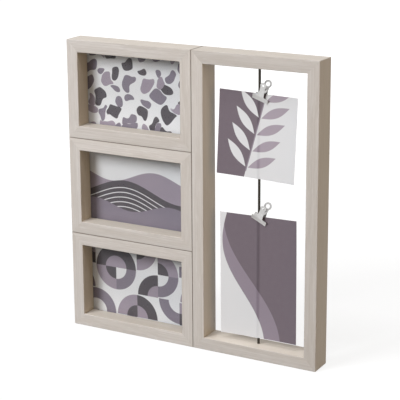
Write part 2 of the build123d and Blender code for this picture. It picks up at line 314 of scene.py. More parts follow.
class EffectGroup(NodeBench):
    """A shared effect as a node group, from a place in millimetres and a fineness for each millimetre."""

    OUTPUTS = {
        Effect.GRAIN: ("Streaks", "Bands", "Pores"),
        Effect.FIBRE: ("Fleck", "Relief"),
        Effect.WEAR: ("Smudge", "Scratch"),
        Effect.JOINT: ("Line", "Front"),
    }

    def __init__(self, effect: Effect) -> None:
        """Make the node group of an effect.

        Args:
            effect: The effect.
        """
        super().__init__(bpy.data.node_groups.new(effect.value, "ShaderNodeTree"))
        self.tree.interface.new_socket("Place", in_out="INPUT", socket_type="NodeSocketVector")
        self.tree.interface.new_socket("Fineness", in_out="INPUT", socket_type="NodeSocketFloat")
        for label in self.OUTPUTS[effect]:
            self.tree.interface.new_socket(label, in_out="OUTPUT", socket_type="NodeSocketFloat")
        source = self.add("NodeGroupInput")
        self.place = source.outputs["Place"]
        self.fine = Wire(self, source.outputs["Fineness"])
        drain = self.add("NodeGroupOutput")
        made = getattr(self, f"_{effect.name.lower()}")()
        for label, value in zip(self.OUTPUTS[effect], made):
            self.feed(drain.inputs[label], value)

    def _grain(self) -> tuple[Wire, ...]:
        """Make wood grain that runs along the place's X axis.

        Returns:
            Fine streaks, broad bands and short pores, each from 0 to 1.
        """
        sway, sway_deep, sway_cells = 9.0, 0.6, (0.009, 0.025, 0.025)
        streak_stretch, band_stretch, pore_stretch = (0.014, 1.0, 1.0), (0.05, 1.0, 1.0), (0.03, 1.0, 1.0)
        band_scale, pore_scale, ring_scale, ring_warp, ring_depth = 0.11, 2.6, 2.3, 9.0, 0.14
        along, across, deep = self.axes(self.place)
        drift = (self.noise(self.place, scale=1.0, detail=1.0, stretch=sway_cells) - 0.5) * sway
        bent = self.point(along, across + drift, deep + drift * sway_deep)
        streaks = self.noise(bent, self.fine, detail=5.0, rough=0.62, stretch=streak_stretch)
        broad = self.noise(bent, self.fine * band_scale, detail=2.0, stretch=band_stretch)
        pores = self.noise(bent, self.fine * pore_scale, detail=1.0, stretch=pore_stretch)
        slant = across + drift * 1.4 + deep * 0.35
        rings = (slant * self.fine * ring_scale + broad * ring_warp).sine() * ring_depth
        bands = broad + rings * streaks.spread(0.2, 0.8)
        return streaks.spread(0.3, 0.7), bands.spread(0.32, 0.72), pores.spread(0.6, 0.74)

    def _fibre(self) -> tuple[Wire, ...]:
        """Make a mat of short fibres.

        Returns:
            Flecks of tone and the relief of the mat, each from 0 to 1.
        """
        detail, rough, cloud_scale, cloud_share = 4.0, 0.65, 0.06, 0.15
        laid = self.noise(self.place, self.fine, detail, rough, stretch=(0.3, 1.0, 1.0))
        crossed = self.noise(self.place, self.fine * 1.2, detail, rough, stretch=(1.0, 1.0, 0.3))
        cloud = self.noise(self.place, self.fine * cloud_scale, detail=3.0)
        tone = laid.least(crossed) * (1 - cloud_share) + cloud * cloud_share
        return tone.spread(0.3, 0.62), laid.most(crossed)

    def _wear(self) -> tuple[Wire, ...]:
        """Make the marks that handling leaves.

        Returns:
            Soft smudges and fine scratches, each from 0 to 1.
        """
        scratch_scale, scratch_stretch = 3.0, (0.35, 4.0, 5.0)
        smudge = self.noise(self.place, self.fine, detail=3.0, rough=0.55)
        fine = self.fine * scratch_scale
        scratch = self.noise(self.place, fine, detail=3.0, rough=0.7, stretch=scratch_stretch)
        return smudge.spread(0.32, 0.7), scratch.spread(0.35, 0.75)

    def _joint(self) -> tuple[Wire, ...]:
        """Find the seams between the frames, one over the fineness wide, darkened by painted shade and
        grime, and the front faces.

        Returns:
            A mask of the seams, for painted shade and grime, and a mask of the front faces.
        """
        top_z, front_y, out_of_reach = 359.3, -14.4, 1000.0
        x, y, z = self.axes(self.place)
        beside = x - SEAM_X
        lower, upper = ((z - SMALL_FRAME[1] * count).size() for count in (1, 2))
        level = lower.least(upper) + beside.above(0.0) * out_of_reach
        wider_on_top = (z - top_z).above(0.0).between(1.0, 0.48)
        ragged = self.noise(self.place, scale=0.4, detail=2.0).between(0.75, 1.25) * wider_on_top
        # The seams are darkened with painted shade and grime, wider on the top face
        line = (beside.size().least(level) * self.fine * ragged - 0.5).inside(0.35)
        return line, (y - front_y).inside(0.3)


class Coat(NodeBench):
    """A material under construction, with its main shader."""

    def __init__(self, name: str) -> None:
        """Start a material.

        Args:
            name: The material's name.
        """
        self.material = bpy.data.materials.new(name)
        self.material.use_nodes = True
        super().__init__(self.material.node_tree)
        self.shader = self.tree.nodes["Principled BSDF"]

    def place(self, centre: Point = ORIGIN, turn: Point = ORIGIN) -> Socket:
        """Give the point on the piece in millimetres.

        Args:
            centre: The point, in millimetres, that becomes the origin.
            turn: Angles in degrees through which the pattern is turned.

        Returns:
            The place, as a vector socket.
        """
        source = self.add("ShaderNodeTexCoord")
        mapping = self.add("ShaderNodeMapping")
        turned = tuple(math.radians(angle) for angle in turn)
        moved = Matrix.Identity(3)
        for axis, angle in zip("XYZ", turned):
            moved = Matrix.Rotation(angle, 3, axis) @ moved
        self.feed_all(mapping, Vector=source.outputs["Object"], Scale=(1 / MM, 1 / MM, 1 / MM))
        self.feed_all(mapping, Location=tuple(-(moved @ Vector(centre))), Rotation=turned)
        return mapping.outputs[0]

    def card_place(self, width: float, height: float) -> Socket:
        """Give the point on a card in millimetres from its middle, by its own map.

        Args:
            width: The card's width in millimetres.
            height: The card's height in millimetres.

        Returns:
            The place, as a vector socket.
        """
        source = self.add("ShaderNodeUVMap")
        mapping = self.add("ShaderNodeMapping")
        self.feed_all(mapping, Vector=source.outputs["UV"], Scale=(width, height, 1.0))
        self.feed_all(mapping, Location=(-width / 2, -height / 2, 0.0))
        return mapping.outputs[0]

    def effect(self, effect: Effect, place: Socket, fine: float) -> list[Wire]:
        """Place a shared effect, made at its first use.

        Args:
            effect: The effect.
            place: The point in millimetres.
            fine: Cells for each millimetre.

        Returns:
            The effect's values.
        """
        group = bpy.data.node_groups.get(effect.value)
        if group is None:
            group = EffectGroup(effect).tree
        node = self.add("ShaderNodeGroup", node_tree=group)
        self.feed_all(node, Place=place, Fineness=fine)
        return [Wire(self, socket) for socket in node.outputs]

    def set(self, **values: object) -> None:
        """Set inputs of the main shader, with _ for each space in a name."""
        self.feed_all(self.shader, **values)

    def relief(self, height: Wire, depth: float, strength: float = 0.5) -> None:
        """Roughen the surface.

        Args:
            height: The relief from 0 to 1.
            depth: The depth in millimetres at 1.
            strength: How far the normals follow it.
        """
        node = self.add("ShaderNodeBump")
        self.feed_all(node, Strength=strength, Distance=depth * MM, Height=height)
        self.set(Normal=node.outputs[0])


# Finishes


@dataclass(frozen=True)
class Finish:
    """A finish, which makes one material."""

    name: str

    def material(self) -> bpy.types.Material:
        """Make the material at its first use.

        Returns:
            The material.
        """
        found = bpy.data.materials.get(self.name)
        if found is not None:
            return found
        coat = Coat(self.name)
        self.lay(coat)
        return coat.material

    def lay(self, coat: Coat) -> None:
        """Fill the material."""
        raise NotImplementedError


class Run(Enum):
    """The way that a rail's grain runs, as the turn that lays it along X."""

    ACROSS = ORIGIN
    UPRIGHT = (0.0, 90.0, 0.0)


@dataclass(frozen=True)
class Wood(Finish):
    """Straight-grained wood, bare or with a pale wash."""

    run: Run
    centre: Point = ORIGIN
    light: Colour = ink(213, 206, 201)
    dark: Colour = ink(192, 183, 176)
    band: Colour = ink(188, 178, 168)
    band_share: float = 0.5
    wash: Colour = ink(222, 217, 213)
    wash_share: float = 0.45
    # The warmer tint of the faces behind the front: partly a thinner wash, partly painted warm shade
    bare: Colour = ink(211, 196, 171)
    bare_share: float = 0.25
    # The dark of the seams between the frames: painted shade and grime
    grime: Colour = ink(96, 84, 72)
    grime_share: float = 0.85
    grime_width: float = 1.0
    fineness: float = 0.8
    shade: float = 1.0

    def lay(self, coat: Coat) -> None:
        """Fill the material with streaks, bands and washed pores along the grain, and painted shade and
        grime in the seams.

        Args:
            coat: The material.
        """
        place = coat.place(self.centre, self.run.value)
        streaks, bands, pores = coat.effect(Effect.GRAIN, place, self.fineness)
        line, front = coat.effect(Effect.JOINT, coat.place(), 1 / self.grime_width)
        toned = coat.mix(streaks, self.shaded(self.dark), self.shaded(self.light))
        banded = coat.mix(bands * self.band_share, toned, self.shaded(self.band))
        washed = coat.mix(pores * self.wash_share, banded, self.shaded(self.wash))
        # Faces behind the front take a warmer tint, partly a thinner wash and partly painted warm shade
        thin = coat.mix(front.between(self.bare_share, 0.0), washed, self.bare)
        # Painted shade and grime darken the seams between the frames
        coat.set(Base_Color=coat.mix(line * self.grime_share, thin, self.grime))
        coat.set(Roughness=streaks.between(0.44, 0.56), Specular_IOR_Level=0.5)
        coat.relief(streaks * 0.7 - pores * 0.5, depth=0.12, strength=0.35)

    def shaded(self, colour: Colour) -> Colour:
        """Return a colour in this rail's own shade."""
        return (colour[0] * self.shade, colour[1] * self.shade, colour[2] * self.shade, 1.0)


@dataclass(frozen=True)
class Board(Finish):
    """Pressed fibre board or card."""

    light: Colour
    dark: Colour
    fineness: float
    depth: float

    def lay(self, coat: Coat) -> None:
        """Fill the material with flecked fibres.

        Args:
            coat: The material.
        """
        fleck, relief = coat.effect(Effect.FIBRE, coat.place(), self.fineness)
        coat.set(Base_Color=coat.mix(fleck, self.dark, self.light))
        coat.set(Roughness=relief.between(0.62, 0.82), Specular_IOR_Level=0.25)
        coat.relief(relief, self.depth)


@dataclass(frozen=True)
class Plate(Finish):
    """Plated or bare metal with handling marks."""

    bright: Colour
    dull: Colour
    roughness: float
    fineness: float
    smudge_haze: float = 0.06
    scratch_haze: float = 0.08

    def lay(self, coat: Coat) -> None:
        """Fill the material with smudges and fine scratches.

        Args:
            coat: The material.
        """
        smudge, scratch = coat.effect(Effect.WEAR, coat.place(), self.fineness)
        coat.set(Base_Color=coat.mix(smudge, self.bright, self.dull), Metallic=1.0)
        coat.set(Roughness=smudge * self.smudge_haze + scratch * self.scratch_haze + self.roughness)
        coat.relief(scratch, depth=0.01, strength=0.25)


@dataclass(frozen=True)
class Leather(Finish):
    """The dark cord, with a fine lengthwise grain."""

    light: Colour = ink(68, 62, 54)
    dark: Colour = ink(38, 35, 31)
    grain_fineness: float = 2.2
    fleck_fineness: float = 3.0

    def lay(self, coat: Coat) -> None:
        """Fill the material with the cord's lengthwise creases and rubbed spots.

        Args:
            coat: The material.
        """
        place = coat.place(turn=Run.UPRIGHT.value)
        streaks, _, pores = coat.effect(Effect.GRAIN, place, self.grain_fineness)
        fleck, relief = coat.effect(Effect.FIBRE, place, self.fleck_fineness)
        coat.set(Base_Color=coat.mix(streaks * 0.6 + fleck * 0.4, self.dark, self.light))
        coat.set(Roughness=relief.between(0.45, 0.65), Specular_IOR_Level=0.35)
        coat.relief(streaks * 0.5 + relief * 0.4 - pores * 0.4, depth=0.12, strength=0.6)


@dataclass(frozen=True)
class PictureGlass(Finish):
    """Clear sheet glass that lets the lamps through."""

    clear: Colour = (0.985, 0.995, 0.99, 1.0)
    refraction: float = 1.26
    smudge_haze: float = 0.03
    fineness: float = 0.03

    def lay(self, coat: Coat) -> None:
        """Fill the material with clean glass, hardly smudged.

        Args:
            coat: The material.
        """
        smudge, _ = coat.effect(Effect.WEAR, coat.place(), self.fineness)
        coat.set(Base_Color=self.clear, Transmission_Weight=1.0, IOR=self.refraction)
        coat.set(Roughness=smudge * self.smudge_haze)
        open_air = coat.add("ShaderNodeBsdfTransparent")
        mixed = coat.add("ShaderNodeMixShader")
        coat.feed(mixed.inputs[0], coat.rays("Is Shadow Ray", "Is Diffuse Ray"))
        coat.feed(mixed.inputs[1], coat.shader.outputs[0])
        coat.feed(mixed.inputs[2], open_air.outputs[0])
        coat.feed(coat.tree.nodes["Material Output"].inputs["Surface"], mixed.outputs[0])


class Design(Enum):
    """The plain designs printed on the pictures and cards."""

    PEBBLES = "pebbles"
    HILLS = "hills"
    QUARTERS = "quarters"
    SPRIG = "sprig"
    DUNES = "dunes"


@dataclass(frozen=True)
class Inks:
    """The inks of the designs."""

    ground: Colour = ink(228, 227, 230)
    dark: Colour = ink(85, 79, 86)
    middle: Colour = ink(131, 122, 136)
    light: Colour = ink(158, 146, 160)


class Printer(NodeBench):
    """Draws a design from the place on the sheet, in millimetres from its middle."""

    TONE_LIMITS = (0.36, 0.68)

    def __init__(self, coat: Coat, place: Socket, inks: Inks) -> None:
        """Get ready to print on a material.

        Args:
            coat: The material.
            place: The place on the sheet.
            inks: The inks.
        """
        super().__init__(coat.tree)
        self.place = place
        self.x, self.y, _ = self.axes(place)
        self.inks = inks

    def draw(self, design: Design) -> Socket:
        """Draw one design.

        Args:
            design: The design.

        Returns:
            The colour of the print.
        """
        return getattr(self, f"_{design.value}")()

    def _one_of(self, pick: Wire, *tones: Colour) -> Socket:
        """Return one of three tones, picked by a number from 0 to 1."""
        tone = self.mix(pick.above(self.TONE_LIMITS[0]), tones[0], tones[1])
        return self.mix(pick.above(self.TONE_LIMITS[1]), tone, tones[2])

    def _wave(self, along: Wire, length: float, phase: float, height: float) -> Wire:
        """Return the height of a wave along one side of the sheet."""
        return (along / length + phase).sine() * height

    def _pebbles(self) -> Socket:
        """Draw scattered pebbles in three inks.

        Returns:
            The colour of the print.
        """
        spacing, sway, rim = 19.0, 20.0, 0.012
        mirror = (-1.0, 1.0, 1.0)
        bend_x = (self.noise(self.place, scale=0.06, detail=0.0) - 0.5) * sway
        bend_y = (self.noise(self.place, scale=0.07, detail=0.0, stretch=mirror) - 0.5) * sway
        cells = self.add("ShaderNodeTexVoronoi", voronoi_dimensions="2D", feature="F1")
        moved = self.point(self.x + bend_x, self.y + bend_y)
        self.feed_all(cells, Vector=moved, Scale=1 / spacing, Randomness=0.75)
        pick, reach, _ = self.axes(cells.outputs["Color"])
        past = Wire(self, cells.outputs["Distance"]) - reach.between(0.27, 0.47)
        tone = self._one_of(pick, self.inks.dark, self.inks.middle, self.inks.light)
        return self.mix(past.inside(rim), self.inks.ground, tone)

    def _hills(self) -> Socket:
        """Draw three rolling hills with furrows on the middle one.

        Returns:
            The colour of the print.
        """
        pitch, furrow_half, field_depth = 6.0, 0.55, 4.0
        far = self.y - self._wave(self.x, length=19.0, phase=0.5, height=8.0) - 14.0
        middle = self.y - self._wave(self.x, length=25.0, phase=2.4, height=11.0) + 3.0
        near = self.y - self._wave(self.x, length=17.0, phase=-0.9, height=6.0) + 24.0
        furrow = (middle.modulo(pitch) - pitch / 2).size() - furrow_half
        lined = furrow.inside() * middle.inside() * (middle + field_depth).inside()
        tone = self.mix(far.inside(), self.inks.ground, self.inks.light)
        tone = self.mix(middle.inside(), tone, self.inks.dark)
        tone = self.mix(lined, tone, self.inks.ground)
        return self.mix(near.inside(), tone, self.inks.middle)

    def _quarters(self) -> Socket:
        """Draw square tiles with quarter rounds.

        Returns:
            The colour of the print.
        """
        tile, outer_round, inner_round, rim = 30.0, 0.96, 0.5, 0.008
        across = (self.x + 6.0) / tile
        up = (self.y + 15.0) / tile
        column, row = across.floor(), up.floor()
        chance = self.add("ShaderNodeTexWhiteNoise", noise_dimensions="2D")
        self.feed(chance.inputs["Vector"], self.point(column + 0.5, row + 0.5))
        flip_x, flip_y, pick = self.axes(chance.outputs["Color"])
        corner_x = across - column - flip_x.above(0.5)
        corner_y = up - row - flip_y.above(0.5)
        reach = (corner_x * corner_x + corner_y * corner_y).root()
        outer = self._one_of(pick, self.inks.dark, self.inks.middle, self.inks.light)
        inner = self._one_of(pick, self.inks.light, self.inks.ground, self.inks.dark)
        tone = self.mix((reach - outer_round).inside(rim), self.inks.ground, outer)
        return self.mix((reach - inner_round).inside(rim), tone, inner)

    def _sprig(self) -> Socket:
        """Draw a leaning stem between a dark field with pale leaves and a pale field with mauve ones.

        Returns:
            The colour of the print.
        """
        lean, rise = math.radians(14), math.radians(38)
        leaf, leaf_half, pitch, rows, root_gap = 38.0, 5.4, 16.0, 2.2, 2.0
        stem_half, stem_reach, off_leaf = 0.7, 44.0, 50.0
        side = self.x * math.cos(lean) - self.y * math.sin(lean) + 2.0
        up = self.x * math.sin(lean) + self.y * math.cos(lean)
        out = side.size()
        run = out * math.cos(rise) + up * math.sin(rise)
        over = up * math.cos(rise) - out * math.sin(rise)
        row = (over / pitch + 0.5).floor() * pitch
        along = (run - row * math.tan(rise) - root_gap) / leaf
        belly = (along.most(0.0).least(1.0) * math.pi).sine() * leaf_half
        blade = (over - row).size() - belly + along.inside(0.001) * off_leaf
        blade = blade.most(row.size() - rows * pitch).most((along - 1.0) * leaf)
        stem = (out - stem_half).most(up.size() - stem_reach)
        half = side.inside()
        field = self.mix(half, self.inks.ground, self.inks.dark)
        leaves = self.mix(half, self.inks.light, self.inks.ground)
        tone = self.mix(blade.inside(), field, leaves)
        return self.mix(stem.inside(), tone, self.inks.middle)

    def _dunes(self) -> Socket:
        """Draw a pale dune that sweeps into a dark field.

        Returns:
            The colour of the print.
        """
        crest = self.x + self._wave(self.y, length=30.0, phase=0.7, height=15.0) + self.y * 0.22 + 24.0
        slip = self.x + self._wave(self.y, length=34.0, phase=0.2, height=17.0) + self.y * 0.3 + 10.0
        tone = self.mix(slip.inside(), self.inks.dark, self.inks.middle)
        return self.mix(crest.inside(), tone, self.inks.ground)


@dataclass(frozen=True)
class PrintedCard(Finish):
    """Printed paper, on a framed print by its place or on a hanging card by its own map."""

    design: Design
    centre: Point = ORIGIN
    facing: Point = (-90.0, 0.0, 0.0)
    map_size: Pair = (0.0, 0.0)
    inks: Inks = Inks()
    paper: Colour = ink(240, 238, 236)
    paper_share: float = 0.05
    fineness: float = 2.5
    # The line of painted cord shade on a hanging card, its half width and its soft rim
    crease_x: float = 0.0
    crease_width: float = 1.7
    crease_rim: float = 1.1

    def lay(self, coat: Coat) -> None:
        """Fill the material with the design on faintly fibrous paper, with painted shade of the cord along
        the crease.

        Args:
            coat: The material.
        """
        if self.map_size[0]:
            place = coat.card_place(*self.map_size)
        else:
            place = coat.place(self.centre, self.facing)
        fleck, relief = coat.effect(Effect.FIBRE, place, self.fineness)
        art = Printer(coat, place, self.inks).draw(self.design)
        # Painted shade of the dark cord showing through the card, darkening the print along the crease
        if self.crease_x:
            x, _, _ = coat.axes(coat.place())
            painted_cord_shade = ((x - self.crease_x).size() - self.crease_width).inside(self.crease_rim)
            cord_shaded_art = coat.add("ShaderNodeGamma")
            coat.feed(cord_shaded_art.inputs[0], art)
            coat.feed(cord_shaded_art.inputs[1], painted_cord_shade * relief.between(0.2, 0.32) + 1.0)
            art = cord_shaded_art.outputs[0]
        coat.set(Base_Color=coat.mix(fleck * self.paper_share, art, self.paper))
        coat.set(Roughness=relief.between(0.4, 0.54), Specular_IOR_Level=0.35)
        coat.relief(relief, depth=0.015, strength=0.3)


NICKEL = Plate("satin_nickel", ink(210, 209, 208), ink(203, 202, 201), roughness=0.36, fineness=0.5)
ZINC = Plate("dull_zinc", ink(190, 191, 192), ink(166, 168, 171), roughness=0.36, fineness=0.35)
SPRING_STEEL = Plate("spring_steel", ink(190, 190, 190), ink(150, 150, 152), roughness=0.2, fineness=0.8)
GREY_CARD = Board("grey_card", ink(176, 168, 156), ink(142, 133, 121), fineness=1.4, depth=0.05)
HARDBOARD = Board("brown_hardboard", ink(176, 146, 114), ink(146, 115, 85), fineness=1.6, depth=0.06)
CARD_BACK = Board("plain_card", ink(232, 230, 226), ink(218, 215, 210), fineness=2.2, depth=0.02)
CARD_INKS = Inks(ink(219, 218, 220), ink(106, 94, 103), ink(140, 128, 140), ink(164, 152, 163))
BEECH = Wood(
    "beech_dowel", Run.ACROSS, light=ink(205, 170, 130), dark=ink(180, 142, 103), band=ink(170, 130, 92)
)


# Modelling


def activate(piece: Shape) -> None:
    """Deselect everything, then select one piece and make it active.

    Args:
        piece: The piece.
    """
    bpy.ops.object.select_all(action="DESELECT")
    piece.select_set(True)
    bpy.context.view_layer.objects.active = piece


@contextmanager
def editing(piece: Shape) -> Iterator[None]:
    """Hold a piece in edit mode with all of it selected.

    Args:
        piece: The piece.

    Yields:
        Nothing.
    """
    activate(piece)
    bpy.ops.object.mode_set(mode="EDIT")
    bpy.ops.mesh.select_all(action="SELECT")
    yield
    bpy.ops.object.mode_set(mode="OBJECT")


def pick_edges(piece: Shape, test: Callable[[bmesh.types.BMEdge], bool]) -> None:
    """Select the edges of a piece in edit mode that pass a test, and no others.

    Args:
        piece: The piece.
        test: Says of an edge whether it is selected.
    """
    bpy.ops.mesh.select_mode(type="EDGE")
    bpy.ops.mesh.select_all(action="DESELECT")
    net = bmesh.from_edit_mesh(piece.data)
    for edge in net.edges:
        edge.select_set(test(edge))
    bmesh.update_edit_mesh(piece.data)


def apply_modifier(piece: Shape, kind: str, **settings: object) -> None:
    """Add a modifier to a piece and apply it.

    Args:
        piece: The piece.
        kind: The modifier's type.
        settings: Its properties.
    """
    activate(piece)
    modifier = piece.modifiers.new(kind.title(), kind)
    for name, value in settings.items():
        setattr(modifier, name, value)
    bpy.ops.object.modifier_apply(modifier=modifier.name)


def smooth(piece: Shape, angle: float) -> None:
    """Shade a piece smooth across edges flatter than an angle in degrees."""
    activate(piece)
    bpy.ops.object.shade_smooth_by_angle(angle=math.radians(angle))


def settle(piece: Shape, place: Matrix) -> None:
    """Put a piece at its place and write that into its mesh.

    Args:
        piece: The piece.
        place: Its place, in metres.
    """
    piece.matrix_world = place
    activate(piece)
    bpy.ops.object.transform_apply(location=True, rotation=True, scale=True)


def twin(node: str, suffix: str) -> Shape:
    """Copy a CAD node's mesh into a new piece with its triangles merged.

    Args:
        node: The node.
        suffix: Added to the node's name.

    Returns:
        The new piece.
    """
    piece = bpy.data.objects.new(f"{node}_{suffix}", frame["nodes"][node].data.copy())
    bpy.context.scene.collection.objects.link(piece)
    piece.data.materials.clear()
    with editing(piece):
        bpy.ops.mesh.remove_doubles(threshold=MERGE_GAP * MM)
        bpy.ops.mesh.customdata_custom_splitnormals_clear()
        bpy.ops.mesh.dissolve_limited(angle_limit=math.radians(FLAT_ANGLE))
    return piece


def dress(node: str, finish: Finish) -> None:
    """Give a CAD node a finish.

    Args:
        node: The node.
        finish: The finish.
    """
    mesh = frame["nodes"][node].data
    mesh.materials.clear()
    mesh.materials.append(finish.material())
    LOG.info("node %s: %s", node, finish.name)


def paint(piece: Shape, *finishes: Finish) -> None:
    """Give a piece its finishes, in the order of its material slots."""
    for finish in finishes:
        piece.data.materials.append(finish.material())


def stand_in(piece: Shape, node: str) -> None:
    """Let a piece stand for a CAD node on that node's body.

    Args:
        piece: The piece.
        node: The node that it replaces.
    """
    if "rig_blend" not in piece:
        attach(piece, frame["nodes"][node]["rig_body"])
    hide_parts(node)
    finishes = ", ".join(material.name for material in piece.data.materials)
    LOG.info("piece %s for %s: %s", piece.name, node, finishes)


@dataclass(frozen=True)
class Pressing:
    """A way of making pressed metal pieces from their CAD nodes, with rounded edges."""

    suffix: str
    finish: Plate
    slot: str
    smooth_angle: float
    sharp_angle: float = 40.0

    def make(self, node: str, rounding: float) -> None:
        """Make one piece.

        Args:
            node: The node that it stands for.
            rounding: The width of its rounded edges in millimetres.
        """
        piece = twin(node, self.suffix)
        apply_modifier(
            piece, "BEVEL", width=rounding * MM, segments=2, limit_method="ANGLE",
            angle_limit=math.radians(self.sharp_angle), use_clamp_overlap=False,
        )
        smooth(piece, self.smooth_angle)
        paint(piece, self.finish)
        stand_in(piece, node)


ZINC_PRESSING = Pressing("plate", ZINC, "zinc_steel", smooth_angle=35.0)
CLIP_PRESSING = Pressing("nickel", NICKEL, "clip_metal", smooth_angle=40.0)


# Frames


@dataclass
class MitredFrame:
    """Four mitred rails round one opening."""

    name: str
    centre: Pair
    size: Pair
    joint_chamfer: float = 0.08
    corner_chamfer: float = 0.55
    nail_front: float = 4.9
    smooth_angle: float = 30.0
    grain_shift: Point = (3.7, 41.0, 2.9)

    RUNS = {
        "bottom_rail": Run.ACROSS,
        "top_rail": Run.ACROSS,
        "left_stile": Run.UPRIGHT,
        "right_stile": Run.UPRIGHT,
    }
    SHADES = {
        "top_frame_top_rail": 0.94,
        "middle_frame_top_rail": 1.05,
        "bottom_frame_bottom_rail": 1.06,
        "tall_frame_top_rail": 0.87,
        "tall_frame_right_stile": 0.9,
        "tall_frame_bottom_rail": 0.96,
    }

    def build(self) -> None:
        """Make the four rails, eased along their mitres, each frame with its own grain."""
        shift_x, shift_y, shift_z = self.grain_shift
        start = (self.centre[0] * shift_x, shift_y, self.centre[1] * shift_z)
        for side, run in self.RUNS.items():
            node = f"{self.name}_frame_{side}"
            piece = twin(node, "wood")
            self.ease_mitres(piece)
            smooth(piece, self.smooth_angle)
            paint(piece, Wood(f"washed_{node}", run, start, shade=self.SHADES.get(node, 1.0)))
            stand_in(piece, node)

    def ease_mitres(self, piece: Shape) -> None:
        """Chamfer a rail's outer tips and the rims of its mitre faces, so that the joint is a fine line.

        Args:
            piece: The rail.
        """
        close = 0.05

        def on_mitre(face: bmesh.types.BMFace) -> bool:
            """Return whether a face is one of the mitre faces."""
            normal = face.normal
            return abs(normal.y) < close and abs(abs(normal.x) - abs(normal.z)) < close

        def on_rim(edge: bmesh.types.BMEdge) -> bool:
            """Return whether an edge is on the rim of a mitre face, clear of the nails."""
            middle = (edge.verts[0].co.y + edge.verts[1].co.y) / 2
            return middle < self.nail_front * MM and sorted(map(on_mitre, edge.link_faces)) == [False, True]

        with editing(piece):
            pick_edges(piece, on_rim)
            bpy.ops.mesh.bevel(
                offset=self.joint_chamfer * MM, segments=1, affect="EDGES", clamp_overlap=False
            )
            for outward in ((-1, -1), (-1, 1), (1, -1), (1, 1)):
                corner_x = self.centre[0] + outward[0] * (self.size[0] / 2 - self.corner_chamfer)
                corner_z = self.centre[1] + outward[1] * self.size[1] / 2
                bpy.ops.mesh.select_all(action="SELECT")
                bpy.ops.mesh.bisect(
                    plane_co=(corner_x * MM, 0.0, corner_z * MM), plane_no=(outward[0], 0.0, outward[1]),
                    use_fill=True, clear_outer=True,
                )


@dataclass
class GlazedFrame(MitredFrame):
    """A small frame with glass, a print, a filler pad, a back board and turn buttons."""

    design: Design = Design.PEBBLES
    button_rounding: float = 0.18

    def build(self) -> None:
        """Make the rails and dress the layers behind the opening."""
        super().build()
        middle = (self.centre[0], 0.0, self.centre[1])
        dress(f"{self.name}_glass", PictureGlass("picture_glass"))
        dress(f"{self.name}_print", PrintedCard(f"print_{self.design.value}", self.design, middle))
        dress(f"{self.name}_filler_pad", GREY_CARD)
        dress(f"{self.name}_back_board", HARDBOARD)
        for side in ("left", "right"):
            ZINC_PRESSING.make(f"{self.name}_{side}_turn_button", self.button_rounding)


# Cord, clips and cards


@dataclass
class CordLine:
    """The cord, stretched from the bottom rail to the top rail of the tall frame."""

    x: float = CORD_X
    low: float = 7.0
    high: float = 353.0
    exit_z: float = 15.0
    diameter: float = 3.0
    straight: float = 18.0

    def build(self) -> None:
        line = bpy.data.curves.new("leather_cord", "CURVE")
        line.dimensions = "3D"
        spline = line.splines.new("NURBS")
        heights = (self.low, self.low + self.straight, self.high - self.straight, self.high)
        spline.points.add(len(heights) - 1)
        for point, height in zip(spline.points, heights):
            point.co = (self.x * MM, 0.0, height * MM, 1.0)
        spline.order_u = 3
        spline.use_endpoint_u = True
        line.bevel_depth = self.diameter / 2 * MM
        line.bevel_resolution = 6
        line.use_fill_caps = True
        piece = bpy.data.objects.new("leather_cord", line)
        bpy.context.scene.collection.objects.link(piece)
        paint(piece, Leather("brown_leather"))
        stand_in(piece, "cord")


